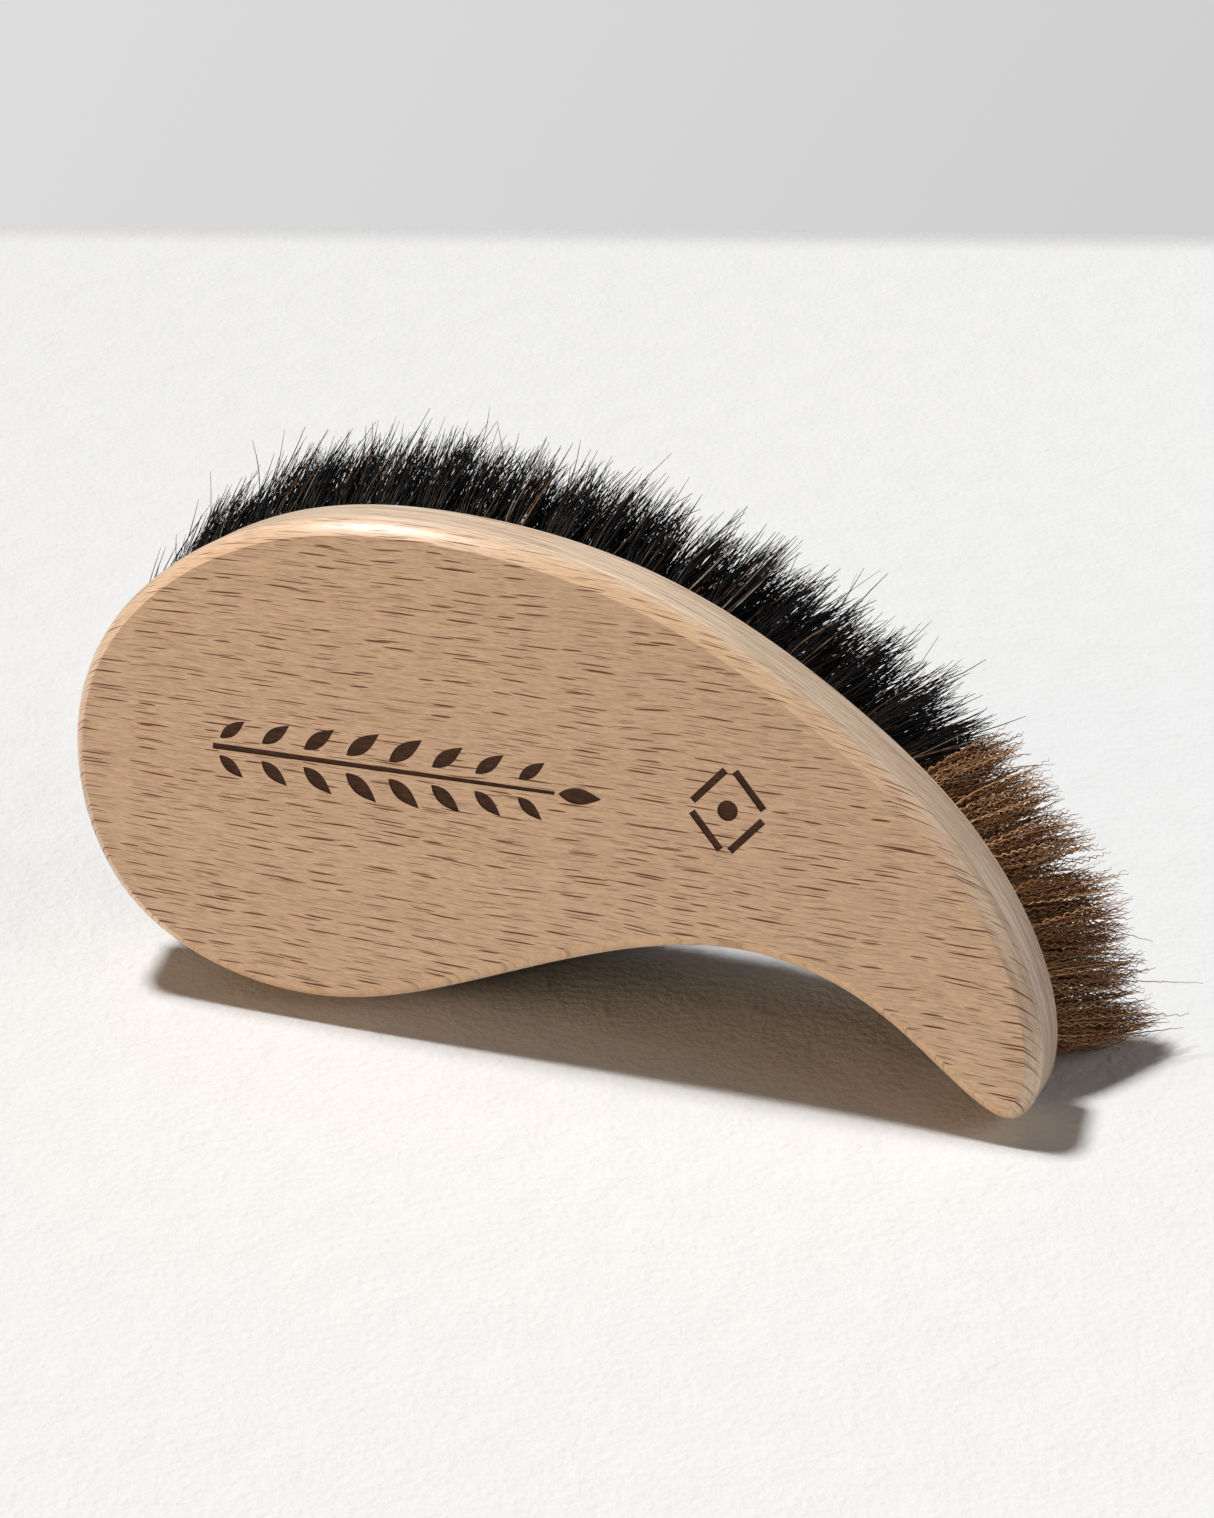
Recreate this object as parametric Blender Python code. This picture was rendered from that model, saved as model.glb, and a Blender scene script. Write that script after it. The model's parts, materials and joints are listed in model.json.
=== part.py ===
"""Palm grooming brush: a comma-shaped beech block with black and brown bristle tufts.

The brush lies on its long hollow edge, leaning back until the bristles meet the surface.
Each part is laid out in the block's own axes, in metres: X along the block, Z up across its
face and Y into the block from its flat face. The empty "brush" then leans all of it back and
stands it on Z = 0, with the origin at the middle of the footprint. One pack of tufts is one
object: its folded roots sit in the block's drilled holes, and its hair fans out behind.
"""

import math

import bmesh
import bpy
import numpy as np

# Block
BLOCK_THICKNESS = 0.0145
LEAN = math.radians(14.0)
REAR_BEVEL = 0.0004
ROUND_WIDTH = 0.0025         # the front edge is rounded over: this far across the face,
ROUND_DEPTH = 0.0042         # and this far down the wall
ROUND_START = math.radians(40.0)     # it leaves the face at this slope
ROUND_STEPS = 4

# The outline passes smoothly through these points, clockwise from the back of the bulb
OUTLINE = [
    (-0.0425, 0.0417), (-0.0330, 0.0635), (-0.0104, 0.0782), (0.0212, 0.0817),
    (0.0556, 0.0752), (0.0874, 0.0588), (0.1108, 0.0386), (0.1236, 0.0117),
    (0.1197, 0.0001), (0.0991, 0.0123), (0.0689, 0.0200), (0.0329, 0.0088),
    (0.0011, 0.0000), (-0.0321, 0.0120),
]
OUTLINE_STEPS = 7            # facets between two points of the outline

# Tufts: rows that follow the outline, one inside the other
EDGE_MARGIN = 0.0050
ROW_PITCH = 0.0068
ROW_COUNT = 7
TUFT_PITCH = 0.0070
TUFT_CLEARANCE = 0.0066      # a tuft nearer than this to another is left out
TAIL_TIP = OUTLINE[8]
TIP_CLEARANCE = 0.0080       # the tip of the tail stays bare
PACK_LIMIT = 6               # most tufts in one pack
SHARPEST_TURN = 0.6          # cosine of the turn at which a pack ends
HOLE_RADIUS = 0.0021
HOLE_DEPTH = 0.0080
ROOT_RADIUS = 0.0018
ROOT_GAP = 0.0003
ROOT_SIDES = 6
ROOT_TOP = 0.0012

# Hair: straight bundles that fan out more and more away from the bulb
HAIR_LENGTH = 0.0262
HAIR_HALF_WIDTH = 0.0024
FAN_CENTRE = (-0.0041, 0.0113)       # where the hair stands square to the block
FAN_ALONG = (5.93, -3.16)            # lean along the block, per metre along and up it
FAN_UP = (-1.22, 6.51)               # lean up the block, per metre along and up it
FAN_TO_BULB = 0.35                   # share of that lean left where it points to the bulb
FLOOR_SOFTNESS = 0.0030
HAIR_LEVELS = (0.03, 0.5, 1.0)

# Brown fibre fills the tail, beyond a line across the block
BROWN_LINE_POINT = (0.0940, 0.0550)
BROWN_LINE_NORMAL = (0.82, -0.57)

COLOURS = {
    "beech": ((0.62, 0.42, 0.26), 0.45),
    "black_hair": ((0.012, 0.011, 0.012), 0.35),
    "brown_fibre": ((0.16, 0.085, 0.04), 0.60),
}


# ---------------------------------------------------------------- outline

def closed_spline(points, steps):
    """Smooth closed curve through the points, as steps samples in each span."""
    pts = np.array(points)
    count = len(pts)
    knots = np.sqrt(np.linalg.norm(np.roll(pts, -1, axis=0) - pts, axis=1))
    matrix = np.zeros((count, count))
    right_side = np.zeros((count, 2))
    for i in range(count):
        before, after = knots[i - 1], knots[i]
        matrix[i, i - 1] = after
        matrix[i, i] = 2.0 * (before + after)
        matrix[i, (i + 1) % count] = before
        rise_before = (pts[i] - pts[i - 1]) / before
        rise_after = (pts[(i + 1) % count] - pts[i]) / after
        right_side[i] = 3.0 * (after * rise_before + before * rise_after)
    slopes = np.linalg.solve(matrix, right_side)
    curve = []
    for i in range(count):
        j = (i + 1) % count
        for step in range(steps):
            t = step / steps
            curve.append(
                (2 * t**3 - 3 * t**2 + 1) * pts[i]
                + (t**3 - 2 * t**2 + t) * knots[i] * slopes[i]
                + (3 * t**2 - 2 * t**3) * pts[j]
                + (t**3 - t**2) * knots[i] * slopes[j]
            )
    return np.array(curve)


def outward_normals(curve):
    """Unit normals of a clockwise closed curve, pointing out of it."""
    along = np.roll(curve, -1, axis=0) - np.roll(curve, 1, axis=0)
    normals = np.stack([-along[:, 1], along[:, 0]], axis=1)
    return normals / np.linalg.norm(normals, axis=1)[:, None]


def rounded_edge(steps):
    """Insets and depths of the rounded front edge, from the face to the wall."""
    shoulder = ROUND_WIDTH * math.tan(ROUND_START)
    for step in range(steps + 1):
        t = step / steps
        yield ROUND_WIDTH * (1.0 - t) ** 2, 2.0 * t * (1.0 - t) * shoulder + t**2 * ROUND_DEPTH


# ---------------------------------------------------------------- meshes

def add_object(name, bm, material, parent):
    """Turn a bmesh into a named object with its own material."""
    mesh = bpy.data.meshes.new(name)
    bmesh.ops.recalc_face_normals(bm, faces=bm.faces)
    bm.to_mesh(mesh)
    bm.free()
    obj = bpy.data.objects.new(name, mesh)
    bpy.context.scene.collection.objects.link(obj)
    obj.parent = parent
    if material:
        mesh.materials.append(material)
    return obj


def add_cutter(name, bm, parent):
    """A helper solid for a Boolean: never part of the model itself."""
    cutter = add_object(name, bm, None, parent)
    cutter.hide_render = True
    cutter.display_type = "WIRE"
    return cutter


def apply_boolean(obj, other, operation):
    """Apply an exact Boolean to obj and remove the other solid."""
    modifier = obj.modifiers.new(operation.lower(), "BOOLEAN")
    modifier.operation = operation
    modifier.solver = "EXACT"
    modifier.object = other
    bpy.context.view_layer.update()
    depsgraph = bpy.context.evaluated_depsgraph_get()
    result = bpy.data.meshes.new_from_object(obj.evaluated_get(depsgraph))
    obj.modifiers.clear()
    obj.data = result
    bpy.data.objects.remove(other, do_unlink=True)


def bridge_rings(bm, rings):
    """Join closed rings of the same length with quads, and cap both ends."""
    for lower, upper in zip(rings, rings[1:]):
        for i in range(len(lower)):
            j = (i + 1) % len(lower)
            bm.faces.new((lower[i], lower[j], upper[j], upper[i]))
    bm.faces.new(rings[0])
    bm.faces.new(reversed(rings[-1]))


def add_prism(bm, centre, radius, depths):
    """A regular prism along Y, between the two depths."""
    rings = []
    for depth in depths:
        ring = []
        for side in range(ROOT_SIDES):
            turn = 2.0 * math.pi * side / ROOT_SIDES
            x = centre[0] + radius * math.cos(turn)
            z = centre[1] + radius * math.sin(turn)
            ring.append(bm.verts.new((x, depth, z)))
        rings.append(ring)
    bridge_rings(bm, rings)


# ---------------------------------------------------------------- block

def make_block(curve, tufts, material, parent):
    """The wooden block: flat face, rounded front edge, plain wall, drilled back."""
    normals = outward_normals(curve)
    layers = list(rounded_edge(ROUND_STEPS))
    layers.append((0.0, BLOCK_THICKNESS - REAR_BEVEL))
    layers.append((REAR_BEVEL, BLOCK_THICKNESS))
    bm = bmesh.new()
    rings = []
    for inset, depth in layers:
        points = curve - normals * inset
        rings.append([bm.verts.new((point[0], depth, point[1])) for point in points])
    bridge_rings(bm, rings)
    block = add_object("wood_block", bm, material, parent)
    drill = bmesh.new()
    for tuft in tufts:
        add_prism(drill, tuft, HOLE_RADIUS, (BLOCK_THICKNESS - HOLE_DEPTH, BLOCK_THICKNESS + 0.002))
    apply_boolean(block, add_cutter("drill", drill, parent), "DIFFERENCE")
    return block


# ---------------------------------------------------------------- tufts

def row_path(curve, margin):
    """The closed line that runs inside the outline at one distance from it."""
    candidates = curve - outward_normals(curve) * margin
    apart = np.linalg.norm(candidates[:, None, :] - curve[None, :, :], axis=2).min(axis=1)
    return candidates[apart > margin - 0.0002]


class Row:
    """A closed row of evenly spaced tufts, measured along its path."""

    def __init__(self, path):
        self.path = np.vstack([path, path[:1]])
        steps = np.linalg.norm(np.diff(self.path, axis=0), axis=1)
        self.lengths = np.concatenate([[0.0], np.cumsum(steps)])
        self.total = self.lengths[-1]
        count = max(1, round(self.total / TUFT_PITCH))
        self.stops = (np.arange(count) + 0.5) * self.total / count

    def point(self, stop):
        """The point of the path at this distance along it."""
        stop = stop % self.total
        return np.array([np.interp(stop, self.lengths, self.path[:, k]) for k in range(2)])

    def side(self, stop):
        """Unit vector across the row at this distance along it."""
        along = self.point(stop + 0.25 * TUFT_PITCH) - self.point(stop - 0.25 * TUFT_PITCH)
        return np.array((-along[1], along[0])) / np.linalg.norm(along)


def is_brown(point):
    """True beyond the line where the brown fibre begins."""
    across = (point[0] - BROWN_LINE_POINT[0]) * BROWN_LINE_NORMAL[0]
    up = (point[1] - BROWN_LINE_POINT[1]) * BROWN_LINE_NORMAL[1]
    return across + up > 0.0


def lay_out_packs(fine_curve):
    """Packs of neighbouring tufts of one colour: (row number, brown or not, row, stops)."""
    placed = []
    packs = []
    for number in range(ROW_COUNT):
        path = row_path(fine_curve, EDGE_MARGIN + number * ROW_PITCH)
        if len(path) < 3:
            break
        row = Row(path)
        run = []
        for stop in row.stops:
            tuft = row.point(stop)
            free = all(math.dist(tuft, other) > TUFT_CLEARANCE for other in placed)
            free = free and math.dist(tuft, TAIL_TIP) > TIP_CLEARANCE
            same = run and is_brown(row.point(run[-1])) == is_brown(tuft)
            straight = run and row.side(run[-1]) @ row.side(stop) > SHARPEST_TURN
            if run and not (free and same and straight):
                packs += split_run(number, row, run)
                run = []
            if free:
                placed.append(tuple(tuft))
                run.append(stop)
        packs += split_run(number, row, run)
    return packs


def split_run(number, row, run):
    """Cut a run of tufts into packs of nearly equal length."""
    if not run:
        return []
    brown = is_brown(row.point(run[0]))
    parts = math.ceil(len(run) / PACK_LIMIT)
    edges = [round(k * len(run) / parts) for k in range(parts + 1)]
    return [(number, brown, row, run[a:b]) for a, b in zip(edges, edges[1:])]


def hair_point(x, z, reach):
    """Where a hair rooted at (x, z) is at reach 0 to 1 of its length, in the block's axes."""
    along = x - FAN_CENTRE[0]
    up = z - FAN_CENTRE[1]
    lean_x = FAN_ALONG[0] * along + FAN_ALONG[1] * up
    if lean_x < 0.0:
        lean_x *= FAN_TO_BULB
    lean_z = FAN_UP[0] * along + FAN_UP[1] * up
    depth = reach * HAIR_LENGTH / math.sqrt(1.0 + lean_x**2 + lean_z**2)
    x += lean_x * depth
    z += lean_z * depth
    floor = math.tan(LEAN) * depth
    above = z - floor
    lifted = FLOOR_SOFTNESS * math.log1p(math.exp(above / FLOOR_SOFTNESS))
    z += (lifted - above) * min(1.0, 3.0 * reach)
    return (x, BLOCK_THICKNESS + depth, z)


def pack_stations(row, stops):
    """Centres and side directions of a pack's hair, from one end of the pack to the other."""
    sides = [row.side(stop) for stop in stops]
    centres = [row.point(stop) for stop in stops]
    first_end = centres[0] + np.array((-sides[0][1], sides[0][0])) * HAIR_HALF_WIDTH
    last_end = centres[-1] - np.array((-sides[-1][1], sides[-1][0])) * HAIR_HALF_WIDTH
    centres = [first_end, *centres[1:-1], last_end]
    if len(stops) == 1:
        sides = sides * 2
    return zip(centres, sides)


def make_pack(name, row, stops, material, parent):
    """One pack of tufts: a fanned body of hair on a row of round roots."""
    bm = bmesh.new()
    grid = []
    for centre, side in pack_stations(row, stops):
        near = centre - side * HAIR_HALF_WIDTH
        far = centre + side * HAIR_HALF_WIDTH
        up = [bm.verts.new(hair_point(*near, reach)) for reach in HAIR_LEVELS]
        down = [bm.verts.new(hair_point(*far, reach)) for reach in reversed(HAIR_LEVELS)]
        grid.append(up + down)
    bridge_rings(bm, grid)
    bmesh.ops.triangulate(bm, faces=bm.faces)
    pack = add_object(name, bm, material, parent)
    roots = bmesh.new()
    for stop in stops:
        bottom = BLOCK_THICKNESS - HOLE_DEPTH + ROOT_GAP
        add_prism(roots, row.point(stop), ROOT_RADIUS, (bottom, BLOCK_THICKNESS + ROOT_TOP))
    apply_boolean(pack, add_cutter(name + "_roots", roots, parent), "UNION")
    return pack


# ---------------------------------------------------------------- assembly

def make_material(name):
    colour, roughness = COLOURS[name]
    material = bpy.data.materials.new(name)
    material.use_nodes = True
    shader = material.node_tree.nodes["Principled BSDF"]
    shader.inputs["Base Color"].default_value = (*colour, 1.0)
    shader.inputs["Roughness"].default_value = roughness
    shader.inputs["Metallic"].default_value = 0.0
    return material


def stand_on_floor(empty, objects):
    """Lean the brush back, and put the middle of its footprint on the origin."""
    empty.rotation_euler = (-LEAN, 0.0, 0.0)
    bpy.context.view_layer.update()
    corners = np.array([
        tuple(obj.matrix_world @ vertex.co) for obj in objects for vertex in obj.data.vertices
    ])
    low, high = corners.min(axis=0), corners.max(axis=0)
    empty.location = (-0.5 * (low[0] + high[0]), -0.5 * (low[1] + high[1]), -low[2])
    bpy.context.view_layer.update()


def main():
    for obj in list(bpy.data.objects):
        bpy.data.objects.remove(obj, do_unlink=True)
    brush = bpy.data.objects.new("brush", None)
    bpy.context.scene.collection.objects.link(brush)
    materials = {name: make_material(name) for name in COLOURS}
    packs = lay_out_packs(closed_spline(OUTLINE, 10 * OUTLINE_STEPS))
    tufts = [row.point(stop) for _, _, row, stops in packs for stop in stops]
    block = make_block(closed_spline(OUTLINE, OUTLINE_STEPS), tufts, materials["beech"], brush)
    objects = [block]
    numbers = {}
    for number, brown, row, stops in packs:
        colour = "brown" if brown else "black"
        numbers[number, brown] = numbers.get((number, brown), 0) + 1
        name = f"{colour}_tufts_row{number + 1}_{numbers[number, brown]:02d}"
        material = materials["brown_fibre" if brown else "black_hair"]
        objects.append(make_pack(name, row, stops, material, brush))
    stand_on_floor(brush, objects)


main()
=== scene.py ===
"""Looks of the palm grooming brush: a comma-shaped beech block with burned-in decoration, and
177 tufts of black horsehair and crimped brown fibre, on a pale plaster floor.

The block's own axes are used for its shape, its holes and its hair: X along the block, Y into it
from its flat face, Z up across the face, in metres. Their origin is on the face, at the bulb's
lowest point. They are found from the frame's record.
"""

import json
import math

import bmesh
import bpy
import numpy as np
from mathutils import Matrix, Vector


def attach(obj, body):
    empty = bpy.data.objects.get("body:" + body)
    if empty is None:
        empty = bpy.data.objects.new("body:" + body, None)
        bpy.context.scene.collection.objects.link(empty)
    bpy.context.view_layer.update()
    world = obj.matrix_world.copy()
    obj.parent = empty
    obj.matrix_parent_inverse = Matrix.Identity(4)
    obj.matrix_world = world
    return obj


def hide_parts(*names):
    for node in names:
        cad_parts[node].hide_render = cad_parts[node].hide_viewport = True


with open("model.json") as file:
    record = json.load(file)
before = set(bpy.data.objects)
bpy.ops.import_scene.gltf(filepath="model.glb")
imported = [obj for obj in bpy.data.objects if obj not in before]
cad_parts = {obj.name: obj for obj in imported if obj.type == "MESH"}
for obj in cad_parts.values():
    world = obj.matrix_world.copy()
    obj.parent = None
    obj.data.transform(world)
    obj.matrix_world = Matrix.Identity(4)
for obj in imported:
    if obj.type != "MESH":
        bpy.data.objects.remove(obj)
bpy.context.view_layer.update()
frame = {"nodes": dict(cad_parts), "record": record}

# ---------------------------------------------------------------- the block's axes

FACE_POINT = (0.030, 0.045)      # where the record's front_face mount lies on the face, X and Z


def block_to_world():
    """The matrix that places the block's own axes in the frame, from its face's mount."""
    mount = next(m for m in frame["record"]["mounts"] if m["name"] == "front_face")
    lean = math.asin(mount["axis"][2])
    turn = Matrix.Rotation(-lean, 4, "X")
    origin = Vector(mount["pos_m"]) - turn @ Vector((FACE_POINT[0], 0.0, FACE_POINT[1]))
    return Matrix.Translation(origin) @ turn


TO_WORLD = block_to_world()
TO_BLOCK = TO_WORLD.inverted()

# ---------------------------------------------------------------- sizes of the block

THICKNESS = 0.0145
REAR_BEVEL = 0.0004
BEVEL_STEPS = 3
ROUND_WIDTH = 0.0025                 # the front edge is rounded over: this far across the face,
ROUND_DEPTH = 0.0042                 # and this far down the wall
ROUND_START = math.radians(40.0)     # it leaves the face at this slope
ROUND_STEPS = 12
FACE_SUPPORT = 0.0004                # a flat margin keeps the flat faces' shading flat
SHARP_ANGLE = math.radians(35.0)     # edges sharper than this are not shaded smooth

# Points of the outline, X and Z, clockwise from the bulb's left
OUTLINE = [
    (-0.0425, 0.0417), (-0.0330, 0.0635), (-0.0104, 0.0782), (0.0212, 0.0817),
    (0.0556, 0.0752), (0.0874, 0.0588), (0.1108, 0.0386), (0.1236, 0.0117),
    (0.1197, 0.0001), (0.0991, 0.0123), (0.0689, 0.0200), (0.0329, 0.0088),
    (0.0011, 0.0000), (-0.0321, 0.0120),
]
OUTLINE_STEPS = 18

HOLE_RADIUS = 0.0021
HOLE_DEPTH = 0.0080
HOLE_SIDES = 16
END_TOLERANCE = 0.0001               # a CAD root's end face is flat within this
HOLE_CUT_BEYOND = 0.002              # the hole cutters stand this far out of the back,
BURN_CUT_BEYOND = 0.001              # and the decoration's this far out of the face

# Decoration burned into the face: a sprig along a line, and a lozenge beyond it
BURN_DEPTH = 0.00022
SPRIG_START = (-0.0170, 0.0408)
SPRIG_TILT = math.radians(1.2)
SPRIG_LENGTH = 0.0665
STEM_WIDTH = 0.0010
STEM_TAPER = 0.6                     # width at the stem's end, as a share
LEAF_PAIRS = 8
LEAF_LENGTH = 0.0072
LEAF_WIDTH = 0.0027
LEAF_TILT = math.radians(38.0)
LEAF_GAP = 0.0006                    # between the stem's end and the last leaf
LEAF_STEPS = 12
LEAF_BELLY = 0.85                    # below 1, a leaf is widest before its middle
SIDE_LEAF_GAP = 1.6 * LEAF_GAP
SIDE_LEAF_PLACE = 0.55               # place of a pair in its stretch of the stem
SMALLEST_LEAF = 0.75                 # size of the first and last pairs, as a share
LOZENGE_CENTRE = (0.0702, 0.0437)
LOZENGE_SIZE = (0.0066, 0.0074)
LOZENGE_WIDTH = 0.0012
LOZENGE_GAP = 0.0012
DOT_RADIUS = 1.4 * LOZENGE_WIDTH
DOT_SIDES = 32

# ---------------------------------------------------------------- sizes of the hair

SEED = 28
HAIR_LENGTH = 0.0251                 # shares along a hair are measured against this
FAN_CENTRE = (-0.0041, 0.0113)       # where the hair stands square to the block
FAN_ALONG = (5.93, -3.16)            # lean along the block, per metre along and up it
FAN_UP = (-1.22, 6.51)               # lean up the block, per metre along and up it
FAN_TO_BULB = 0.35                   # share of that lean left where it points to the bulb
FLOOR_SOFTNESS = 0.0012              # hair bends over this height where it meets the floor
FLOOR_GAP = 0.0003
RESTING_LAYER = 0.0036               # thickness of the hair that lies on the floor,
RESTING_BY = 0.5                     # reached at this share of the hair's length
STRAY_LENGTH = (1.00, 1.12)          # stray hairs are this much longer,
STRAY_LEAN = 2.2                     # lean this much more,
STRAY_BEND = 2.5                     # and bend this much more
DRAW_POWER = 1.5                     # a lock draws together late along its hairs,
BEND_POWER = 2.2                     # and a bend shows later still
THICKNESS_SPREAD = 0.15              # from hair to hair
TAPER_START = 0.7                    # a hair thins over the rest of its length,
TAPER_LOSS = 0.6                     # by this share at its tip
TAPER_POWER = 1.5
CRIMP_START = 0.003                  # crimp grows to its full swing over this length
CRIMP_SPREAD = 0.12                  # of the waves' length, from hair to hair
SECOND_WAVE = (0.35, 0.47)           # its swing and its rate, as shares of the first wave's
STRAND_SIDES = 3
STRAND_SIDEWAYS = (0.31, 0.05, 0.95)     # a direction that no hair runs along

# Kinds of hair. Each hair belongs to a lock, and each lock to a tuft.
# length, uneven: mean length out of the block, and its spread from hair to hair
# tuft_lean, tuft_length, lock_lean, lock_length, hair_lean: spreads of lean and length
# root, foot, spread, open_over: depth in the hole, the tuft's radius at the wood and at its
#     ends, and the length over which it opens
# draw: share of the way that hairs move to their lock's middle at the tip
# crimp, wave: swing and length of a crimped fibre's waves
# thickness: a hair's radius
# shades: the strands' colours, from the share of strands below each; tip: what they fade to
BLACK = {
    "length": 0.0248, "uneven": 0.030, "hairs": 185, "steps": 7,
    "root": 0.0015, "foot": 0.0018, "spread": 0.0050, "open_over": 0.0050,
    "tuft_lean": 0.022, "tuft_length": 0.015,
    "locks": 16, "lock_lean": 0.018, "lock_length": 0.020, "draw": 0.35,
    "strays": 0.06, "hair_lean": 0.062, "bend": 0.0010,
    "crimp": 0.0, "thickness": 0.000095,
    "slot": "black_hair", "material": "black_horsehair",
    "shades": [
        (0.00, (0.004, 0.004, 0.006)), (0.78, (0.008, 0.007, 0.007)),
        (0.88, (0.050, 0.023, 0.012)), (0.96, (0.26, 0.14, 0.065)), (1.00, (0.50, 0.42, 0.36)),
    ],
    "tip": (0.009, 0.011, 0.016), "roughness": 0.38, "specular": 0.20,
}
BROWN = {
    "length": 0.0238, "uneven": 0.045, "hairs": 146, "steps": 44,
    "root": 0.0015, "foot": 0.0018, "spread": 0.0050, "open_over": 0.0050,
    "tuft_lean": 0.022, "tuft_length": 0.015,
    "locks": 12, "lock_lean": 0.025, "lock_length": 0.025, "draw": 0.30,
    "strays": 0.05, "hair_lean": 0.048, "bend": 0.0010,
    "crimp": 0.00027, "wave": 0.0020, "thickness": 0.000110,
    "slot": "brown_fibre", "material": "brown_fibre",
    "shades": [
        (0.00, (0.12, 0.045, 0.018)), (0.50, (0.42, 0.195, 0.086)),
        (0.85, (0.66, 0.37, 0.175)), (1.00, (0.84, 0.56, 0.32)),
    ],
    "tip": (0.54, 0.31, 0.165), "roughness": 0.55, "specular": 0.15,
}
STRAND_SHADE = (0.45, 0.45, 0.45)    # darkens stretches of a strand,
SPECK_FADE = (0.35, 0.75)            # between these values of the pattern of specks
ROUGHNESS_SPREAD = 0.1
TIP_FADE = (0.60, 1.02)              # a strand fades to its tip's colour, in shares of HAIR_LENGTH
TIP_SHARE = 0.5                      # as much as this

# ---------------------------------------------------------------- colours and grain

BEECH_PALE = (0.94, 0.695, 0.488)
BEECH_DEEP = (0.60, 0.400, 0.250)
BEECH_WARM = (0.78, 0.47, 0.23)
EDGE_PALE = (0.97, 0.79, 0.61)
EDGE_DEEP = (0.60, 0.39, 0.25)
# Colours of the block's ends: the end grain's own grey-brown, made greyer and darker as painted
# shade
END_PALE = (0.74, 0.57, 0.43)
END_DEEP = (0.38, 0.26, 0.175)
FLECK = (0.175, 0.058, 0.026)
CHAR = (0.028, 0.011, 0.005)
CHAR_PALE = (0.120, 0.050, 0.025)
PLASTER_PALE = (0.815, 0.825, 0.83)
PLASTER_DEEP = (0.775, 0.785, 0.79)
# Painted shade at the floor's far edge, where it meets the backdrop: greyer, darker to the right
FAR_EDGE_LEFT = (0.67, 0.67, 0.675)
FAR_EDGE_RIGHT = (0.60, 0.60, 0.605)
# The backdrop's painted glow: paler on the left, darker to the right
BACKDROP_PALE = (0.74, 0.74, 0.745)
BACKDROP_DEEP = (0.60, 0.60, 0.605)
NO_COLOUR = (0.0, 0.0, 0.0)

# Noise patterns: changes per metre along three axes, detail, roughness. In wood the axes run
# along the grain, across it and into the board.
PORES = ((420.0, 3600.0, 900.0), 3.0, 0.75)
STREAKS = ((130.0, 2000.0, 900.0), 3.0, 0.65)
BANDS = ((9.0, 110.0, 1.0), 2.0, 0.5)
WANDER = ((45.0, 60.0, 1.0), 1.0, 0.5)
CHAR_STREAKS = ((260.0, 3600.0, 1.0), 3.0, 0.6)
CHAR_BLOTCHES = ((700.0, 700.0, 1.0), 2.0, 0.5)      # along X, along Z, into the board
YEAR_LAYERS = ((45.0, 1900.0, 45.0), 3.0, 0.65)      # along X, through the layers, along Z
STRAND_SPECKS = ((1400.0, 260.0, 1400.0), 2.0, 0.6)
PLASTER_COARSE = ((110.0, 110.0, 110.0), 4.0, 0.5)
PLASTER_FINE = ((700.0, 700.0, 700.0), 3.0, 0.5)

GRAIN_AXIS = 0.030                   # Z of the line of grain that runs straight along X
GRAIN_SPREAD = 0.7                   # how fast the grain spreads towards the tail, per metre
WANDER_REACH = 0.0016                # the grain wanders across by about this much
SHEET_SLOPE = 0.9                    # the sheets of rays slope down as they go into the board
LAYER_SLOPE = (0.05, 0.10)           # slope of the year layers, along X and along Z

FACE_TONE = 0.62                     # middle tone of the face, from 0 deep to 1 pale,
FACE_SWINGS = (2.1, 1.4, 0.4)        # moved this much by its pores, streaks and bands
WALL_TONE = 0.70                     # middle tone of the wall,
WALL_SWINGS = (4.2, 1.2)             # moved this much by its year layers and its pores
CHAR_SWING = 2.2
BEECH_ROUGHNESS = (0.28, 0.42)       # from smooth streaks to rough ones,
RAY_ROUGHNESS = 0.2                  # and this much more on the rays
BEECH_SPECULAR = (0.45, 0.10)        # between the rays and on them
BEECH_RELIEF = (0.35, -0.6)          # height of the streaks and of the rays, against the pores
BEECH_BUMP = 0.00003
CHAR_BUMP = 0.00006
PLASTER_BUMP = 0.0010
FINE_PLASTER = 0.5                   # height of the fine pattern against the coarse one

# Where one look of the wood turns into another, as parts of the surface's normal: towards the
# face, and towards the block's ends
FACE_TO_WALL = (0.62, 0.10)
EDGE_TO_END = (0.15, 0.80)
END_OVER_ALL = (0.35, 0.75)          # the ends' colour reaches over the face's edge too,
END_SHARE = 0.55                     # as much as this
RIM_STARTS = (0.97, 0.80)            # the warm rim begins on the face's side,
RIM_STOPS = (0.35, 0.70)             # ends on the wall's side,
RIM_NOT_AT_ENDS = (0.6, 0.2)         # leaves out the block's ends,
RIM_SHARE = 0.35                     # and shows as much as this

# Rays, the dark flecks of beech. A layer is: the pattern's cell along and across the grain, the
# longest ray's half length, a ray's half width, and the share of the cells that show one.
STRONG_RAYS = [
    (0.0105, 0.0020, 0.0043, 0.00015, 0.97),
    (0.0120, 0.0026, 0.0040, 0.00014, 0.97),
]
FAINT_RAYS = [
    (0.0085, 0.0013, 0.0034, 0.00010, 0.95),
    (0.0055, 0.0009, 0.0022, 0.00007, 0.90),
]
RAY_DARKNESS = (0.95, 0.68)          # of the strong and of the faint rays
RAY_LENGTHS = (0.40, 1.00)           # shares of the longest half length
RAY_WIDTHS = (0.75, 1.15)            # shares of the half width
RAY_BLUNTNESS = 3.0                  # a higher power makes a ray's ends blunter
RAY_EDGE = 0.00005                   # a ray's side fades over this width
RAY_SCATTER = 0.6                    # 0 sets the rays out in a grid
LAYER_SHIFT = (0.0173, 0.0031)       # from one layer of rays to the next, along and across
FAINT_SHIFT = 0.0417                 # from the strong rays to the faint ones
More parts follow.
